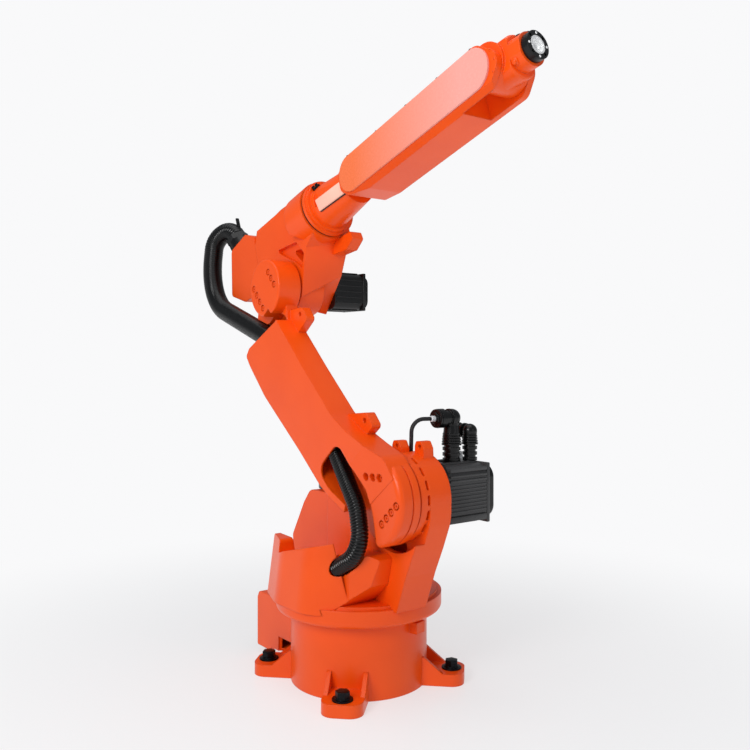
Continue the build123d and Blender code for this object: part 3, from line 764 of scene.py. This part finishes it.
class ARM_OT_motor_details(bpy.types.Operator):
    """Cooling ribs, end plates and plug grips of the joint motors"""

    bl_idname = "arm.motor_details"
    bl_label = "Motor and plug details"

    # Each motor's half width, its ribs' middle across the arm, their length, and the end plate.
    SECOND_HALF = 57.0
    SECOND_RIBS_AT = 100
    SECOND_RIBS_LONG = 96
    SECOND_PLATE_AT = 149.5
    THIRD_HALF = 42.0
    THIRD_RIBS_AT = 98
    THIRD_RIBS_LONG = 70
    THIRD_PLATE_AT = 137.5
    THIRD_BOLTS_AT = 155.8
    THIRD_BOLTS_OUT = 25
    # How deep a rib stands in its housing.
    SUNK = 0.4
    # Height on the second motor's side, width and how far each rib stands out.
    RIBS = [(49, 8, 2.6), (37, 4, 3.4), (28, 4, 3.4), (-46, 12, 2.6)]
    FINE_RIBS = [(18 - 7 * k, 3.2, 1.8) for k in range(8)]
    TOP_RIBS = (-30, -18, 18, 30)
    THIRD_RIBS = (-26, -13, 0, 13, 26)
    # Each plug, from the second motor's middle: x, y, stem radius, height, reach and way.
    PLUGS = ((0, 108, 18, 88, 42, (0, -1, 0)), (8, 150, 15, 60, 50, (-1, 0, 0)))
    # The spare socket's cap stands between the plugs, and the collar where the lead comes in.
    CAP = [(6.5, -1), (6.5, 12), (5, 13), (5, 19), (3.5, 20.5), (0, 20.5)]
    CAP_AT = 130
    COLLAR = [(4.2, -5), (6, -4.5), (6, 3.5), (5, 4.5), (4.2, 5)]
    COLLAR_AT = 58
    COLLAR_HEIGHT = 88

    def execute(self, context):
        x, z, half = SHOULDER.x / MM, SHOULDER.z / MM, self.SECOND_HALF
        y, long = self.SECOND_RIBS_AT, self.SECOND_RIBS_LONG
        parts = []
        for side in (1, -1):
            for height, wide, deep in self.RIBS + self.FINE_RIBS:
                at = facing((x + side * (half - self.SUNK), y, z + height), (side, 0, 0))
                parts.append(block((long, wide, deep + self.SUNK), 0.7, at))
        for shift in self.TOP_RIBS:
            for side in (1, -1):
                spot = (x + shift, y, z + side * (half - self.SUNK))
                at = facing(spot, (0, 0, side), math.pi / 2)
                parts.append(block((long, 5, 2.8), 0.7, at))
        parts.append(self.end_plate(x, z, half, self.SECOND_PLATE_AT))
        parts = merged(parts)
        # The ribs take the paler black that paints the light on the motor's lit side.
        piece_from(parts, "j2_motor_ribs", "ribbed_motor_enamel", "turret")
        self.plugs(x, z + half)
        self.third_motor()
        return {"FINISHED"}

    def end_plate(self, x, z, half, y):
        """The square plate behind a motor's housing."""
        return block((2 * half + 3, 2 * half + 3, 8), 2.0, facing((x, y, z), (0, 1, 0)))

    def plugs(self, x, top):
        """Ribbed grips round the plugs' stems and barrels, the spare socket's cap and a collar."""
        parts = []
        for shift, y, stem, height, reach, way in self.PLUGS:
            grip = [(stem - 4, 33)]
            for k in range(5):
                ridge, foot = stem + 1.8 - 0.5 * k, 34 + 5 * k
                grip += [(ridge, foot), (ridge, foot + 3), (stem - 1.5, foot + 4)]
            grip = [(r, min(h, height - 4)) for r, h in grip] + [(stem - 4, height - 3)]
            parts.append(turned(grip, at=facing((x + shift, y, top), (0, 0, 1))))
            barrel = facing((x + shift, y, top + height), way)
            for start in (reach - 38, reach - 5):
                ring = [
                    (stem - 4, start),
                    (stem + 0.5, start + 0.5),
                    (stem + 0.5, start + 4.5),
                    (stem - 4, start + 5),
                ]
                parts.append(turned(ring, at=barrel))
            parts.append(prism(6, stem * 0.72, 4, 0.8, moved(barrel, 0, 0, reach - 2)))
        piece_from(merged(parts), "j2_plug_grips", "black_nylon", "turret")
        cap = turned(self.CAP, 20, facing((x, self.CAP_AT, top), (0, 0, 1)))
        lead_end = facing((x, self.COLLAR_AT, top + self.COLLAR_HEIGHT), (0, -1, 0))
        collar = turned(self.COLLAR, 20, lead_end)
        for bm, name in ((cap, "spare_socket_cap"), (collar, "lead_collar")):
            piece_from(bm, name, "frosted_polycarbonate", "turret")

    def third_motor(self):
        """End plate, ribs and bolts of the third joint's motor."""
        x, z, half = ELBOW.x / MM, ELBOW.z / MM, self.THIRD_HALF
        y, long = self.THIRD_RIBS_AT, self.THIRD_RIBS_LONG
        parts = [self.end_plate(x, z, half, self.THIRD_PLATE_AT)]
        for side in (1, -1):
            for shift in self.THIRD_RIBS:
                at = facing((x + side * (half - self.SUNK), y, z + shift), (side, 0, 0))
                parts.append(block((long, 4, 2.4), 0.6, at))
                spot = (x + shift, y, z + side * (half - self.SUNK))
                at = facing(spot, (0, 0, side), math.pi / 2)
                parts.append(block((long, 4, 2.4), 0.6, at))
        out = self.THIRD_BOLTS_OUT
        for sx in (-out, out):
            for sz in (-out, out):
                at = facing((x + sx, self.THIRD_BOLTS_AT, z + sz), (0, 1, 0))
                parts.append(cap_screw(at, 4.0, 3.5, 1.8))
        parts = merged(parts)
        piece_from(parts, "j3_motor_ribs", "black_motor_enamel", "elbow")


class ARM_OT_base_screws(bpy.types.Operator):
    """Screws of the connector plate and of the first motor's cap"""

    bl_idname = "arm.base_screws"
    bl_label = "Base screws"

    PLATE_FACE = -252.8
    PLATE_SCREWS = [(y, z) for y in (-80, 0, 80) for z in (42, 118)]
    CAP_AT = (-118, 26, 416.8)
    CAP_CIRCLE = 27

    def execute(self, context):
        r = context.scene.arm_fasteners.cover_screw
        screws = []
        for y, z in self.PLATE_SCREWS:
            at = facing((self.PLATE_FACE, y, z), (-1, 0, 0))
            screws.append(cap_screw(at, r, 2.6, r * 0.5))
        screws = merged(screws)
        piece_from(screws, "connector_plate_screws", "black_oxide_steel", "base")
        cap = []
        x, y, z = self.CAP_AT
        for k in range(4):
            a = math.radians(45 + 90 * k)
            spot = (x + self.CAP_CIRCLE * math.cos(a), y + self.CAP_CIRCLE * math.sin(a), z)
            cap.append(cap_screw(facing(spot, (0, 0, 1)), r, 3, r * 0.5))
        piece_from(merged(cap), "j1_cap_screws", "black_oxide_steel", "turret")
        return {"FINISHED"}


class ARM_OT_hand_details(bpy.types.Operator):
    """Grease screws on the wrist, pins on the tool ring and the latch of the conduit's gland"""

    bl_idname = "arm.hand_details"
    bl_label = "Wrist, tool and gland details"

    # From the wrist's axis to the tool face, and the radius where the grease screws sit.
    HAND_LENGTH = 88
    WRIST_SIDE = 29.5
    # Along the tool axis, round it, and for the lug also out from it.
    GREASE_SCREWS = ((56, 8), (68, -8))
    LUG = (56, 128, 24)
    PIN = [(2.2, -1), (2.2, 1.0), (1.7, 1.4), (0, 1.4)]
    PIN_CIRCLE = 20.5
    LATCH_AT = (-497, -12, 976)
    LATCH_WAY = (-0.3, -0.06, 0.95)

    def hand_at(self, along, angle, radius):
        """A place round the tool axis, facing outwards; angle from the top to the near side."""
        a = math.radians(angle)
        outward = HAND.to_3x3() @ Vector((0, math.cos(a), math.sin(a)))
        spot = HAND @ Vector(((along - self.HAND_LENGTH) * MM, 0, 0)) / MM + outward * radius
        return facing(spot, outward)

    def execute(self, context):
        screws = []
        for along, angle in self.GREASE_SCREWS:
            screws.append(cap_screw(self.hand_at(along, angle, self.WRIST_SIDE), 4.6, 4.4, 1.9))
        screws = merged(screws)
        piece_from(screws, "wrist_grease_screws", "black_oxide_steel", "wrist")
        lug = self.hand_at(*self.LUG)
        boss = turned([(4, 7), (4, 10.5), (3, 11.5), (0, 11.5)], 20, lug)
        parts = merged([block((12, 12, 8.5), 2.0, lug), boss])
        piece_from(parts, "wrist_lug", "cast_orange_enamel", "wrist")
        face = HAND @ Matrix.Rotation(math.pi / 2, 4, "Y")
        pins = []
        for k in range(4):
            a = math.radians(90 * k)
            x, y = self.PIN_CIRCLE * math.cos(a), self.PIN_CIRCLE * math.sin(a)
            pins.append(turned(self.PIN, 16, moved(face, x, y, -0.4)))
        pins = merged(pins)
        piece_from(pins, "tool_ring_pins", "polished_steel", "tool_flange")
        latch = block((9, 5, 36), 1.4, facing(self.LATCH_AT, self.LATCH_WAY))
        piece_from(latch, "gland_latch", "black_nylon", "elbow")
        return {"FINISHED"}


class ARM_OT_conduits(bpy.types.Operator):
    """The two corrugated conduits that cross the second and third joints"""

    bl_idname = "arm.conduits"
    bl_label = "Corrugated conduits"

    # By the plain solid each stands for. Corners and bends are in millimetres, groove is the share
    # of the grooves' depth, and bending gives, in metres, two points at the ends of the stretch
    # across the joint.
    ROUTES = {
        "lower_conduit": {
            "corners": ((0, -77, 506), (129, -97, 374), (156, -106, 297), (84, -113, 252)),
            "bends": (80, 56),
            "radius": 17.0,
            "groove": 1.0,
            "segments": 20,
            "body": "turret",
            "crosses": ("turret", "lower_arm"),
            "bending": ((0.13, -0.108, 0.28), (0.06, -0.086, 0.44)),
        },
        "upper_conduit": {
            "corners": (
                (-487, -9, 930),
                (-525, -19, 988),
                (-576, -42, 960),
                (-578, -58, 802),
                (-204, -76, 691),
            ),
            "bends": (36, 46, 150),
            "radius": 24.0,
            "groove": 0.5,
            "segments": 24,
            "body": "elbow",
            "crosses": ("lower_arm", "elbow"),
            "bending": ((-0.24, -0.075, 0.70), (-0.487, -0.009, 0.93)),
        },
    }

    def execute(self, context):
        form = context.scene.arm_conduits
        for node, route in self.ROUTES.items():
            name = node + "_ridged"
            bm = corrugated(
                name,
                route["corners"],
                route["bends"],
                route["radius"],
                form.pitch,
                form.depth * route["groove"],
                route["segments"],
            )
            piece = piece_from(
                bm, name, "conduit_polyamide", route["body"], 60
            )
            self.cross(piece, node, *route["crosses"], *route["bending"])
        return {"FINISHED"}

    def cross(self, piece, node, first, second, start, end):
        """Frees a conduit from its body where it stands and hides the plain solid that it stands
        for.
        """
        piece.parent = None
        del piece["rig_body"]
        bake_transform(piece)
        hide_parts(node)


class ARM_OT_stage(bpy.types.Operator):
    """Pale floor, soft lamps and the camera at the photograph's angle"""

    bl_idname = "arm.stage"
    bl_label = "Stage"

    FLOOR_RADIUS = 30
    # Just below the feet, so that the two don't share a plane.
    FLOOR_HEIGHT = -0.0005
    # How far out the floor starts and stops fading to the backdrop, and its glow at the start.
    FADE_START = 0.3
    FADE_END = 1.5
    FADE_GLOW = 0.6
    SKY = (0.93, 0.96, 1.0, 1)
    SKY_LIGHT = 0.32
    # Each lamp's name, place, size and share of the power.
    LAMPS = (
        ("key_lamp", (1.0, -2.4, 1.8), 1.1, 1.35),
        ("side_lamp", (2.7, 0.7, 1.3), 1.2, 0.1),
        ("top_lamp", (0.2, -0.3, 3.2), 2.4, 1.2),
    )
    LAMPS_AIM = (0, 0, 0.65)
    CAMERA_AT = (1.4108, -1.0213, 0.6516)
    CAMERA_WAY = (-0.7986, 0.6018, 0)
    CAMERA_SHIFT = -0.0205

    def execute(self, context):
        stage = context.scene.arm_stage
        self.floor(stage)
        self.world(stage)
        self.lamps(stage)
        self.camera(stage)
        context.scene.view_settings.view_transform = "Standard"
        return {"FINISHED"}

    def floor(self, stage):
        """A wide disc whose far part takes on the backdrop's tone."""
        bm = bmesh.new()
        bmesh.ops.create_circle(bm, cap_ends=True, radius=self.FLOOR_RADIUS, segments=96)
        floor = put("studio_floor", mesh_from(bm, "studio_floor"))
        floor.location = (0, 0, self.FLOOR_HEIGHT)
        material, tree, shader, place = blank_material("pale_studio_floor")
        pale = (*stage.floor_colour, 1)
        shader.inputs["Base Color"].default_value = pale
        shader.inputs["Roughness"].default_value = 0.27
        shader.inputs["IOR"].default_value = 1.4
        glow = add_node(tree, "ShaderNodeEmission", {"Color": pale, "Strength": 1.0})
        out = add_node(tree, "ShaderNodeVectorMath", {"operation": "LENGTH"}, {0: place})
        fade = ranged(
            tree,
            out.outputs["Value"],
            self.FADE_START,
            self.FADE_END,
            self.FADE_GLOW,
            1.0,
            "SMOOTHSTEP",
        )
        mix = mixed(tree, fade, shader.outputs["BSDF"], glow.outputs["Emission"])
        tree.links.new(mix, tree.nodes["Material Output"].inputs["Surface"])
        floor.data.materials.append(material)

    def world(self, stage):
        """The floor's tone to the camera's eye, and a softer, cooler light on the arm."""
        world = bpy.data.worlds.new("studio_world")
        bpy.context.scene.world = world
        world.use_nodes = True
        tree = world.node_tree
        rays = add_node(tree, "ShaderNodeLightPath")
        light = tree.nodes["Background"]
        light.inputs["Color"].default_value = self.SKY
        light.inputs["Strength"].default_value = self.SKY_LIGHT
        backdrop = {"Color": (*stage.floor_colour, 1), "Strength": 1.0}
        seen = add_node(tree, "ShaderNodeBackground", backdrop).outputs["Background"]
        mix = mixed(tree, rays.outputs["Is Camera Ray"], light.outputs["Background"], seen)
        tree.links.new(mix, tree.nodes["World Output"].inputs["Surface"])

    def lamps(self, stage):
        """A large key from the camera's left, a faint side panel from its right and a top panel."""
        for name, spot, size, share in self.LAMPS:
            data = bpy.data.lights.new(name, "AREA")
            data.energy = stage.lamp_power * share
            data.size = size
            lamp = put(name, data)
            lamp.location = spot
            aim = Vector(self.LAMPS_AIM) - lamp.location
            lamp.rotation_mode = "QUATERNION"
            lamp.rotation_quaternion = aim.to_track_quat("-Z", "Y")

    def camera(self, stage):
        """The photograph's viewpoint: level, from the robot's right front."""
        data = bpy.data.cameras.new("photo_camera")
        data.lens = stage.lens
        data.sensor_width = 36.0
        data.shift_y = self.CAMERA_SHIFT
        camera = put("photo_camera", data)
        camera.location = self.CAMERA_AT
        camera.rotation_mode = "QUATERNION"
        camera.rotation_quaternion = Vector(self.CAMERA_WAY).to_track_quat("-Z", "Y")
        bpy.context.scene.camera = camera


OPERATORS = (
    ARM_OT_stage,
    ARM_OT_paint_nodes,
    ARM_OT_foot_bolts,
    ARM_OT_joint_screws,
    ARM_OT_cover_screws,
    ARM_OT_neck_details,
    ARM_OT_motor_details,
    ARM_OT_base_screws,
    ARM_OT_hand_details,
    ARM_OT_conduits,
)
SETTINGS = {
    "arm_finishes": ArmFinishSettings,
    "arm_fasteners": ArmFastenerSettings,
    "arm_conduits": ArmConduitSettings,
    "arm_stage": ArmStageSettings,
}


class ARM_PT_panel(bpy.types.Panel):
    """Settings and steps of the robot arm's dressing"""

    bl_idname = "ARM_PT_panel"
    bl_label = "Robot arm"
    bl_space_type = "VIEW_3D"
    bl_region_type = "UI"
    bl_category = "Robot arm"

    def draw(self, context):
        for name, group in SETTINGS.items():
            box = self.layout.box()
            values = getattr(context.scene, name)
            for key in group.__annotations__:
                box.prop(values, key)
        for step in OPERATORS:
            self.layout.operator(step.bl_idname)


def register():
    """Registers the settings, the steps and the panel."""
    for name, group in SETTINGS.items():
        bpy.utils.register_class(group)
        setattr(bpy.types.Scene, name, bpy.props.PointerProperty(type=group))
    for step in OPERATORS:
        bpy.utils.register_class(step)
    bpy.utils.register_class(ARM_PT_panel)


def unregister():
    """Takes back what register added."""
    bpy.utils.unregister_class(ARM_PT_panel)
    for step in reversed(OPERATORS):
        bpy.utils.unregister_class(step)
    for name, group in reversed(list(SETTINGS.items())):
        delattr(bpy.types.Scene, name)
        bpy.utils.unregister_class(group)


def main():
    """Registers the settings and steps, then builds every piece."""
    register()
    for step in OPERATORS:
        group, action = step.bl_idname.split(".")
        getattr(getattr(bpy.ops, group), action)()


if __name__ == "__main__":
    main()
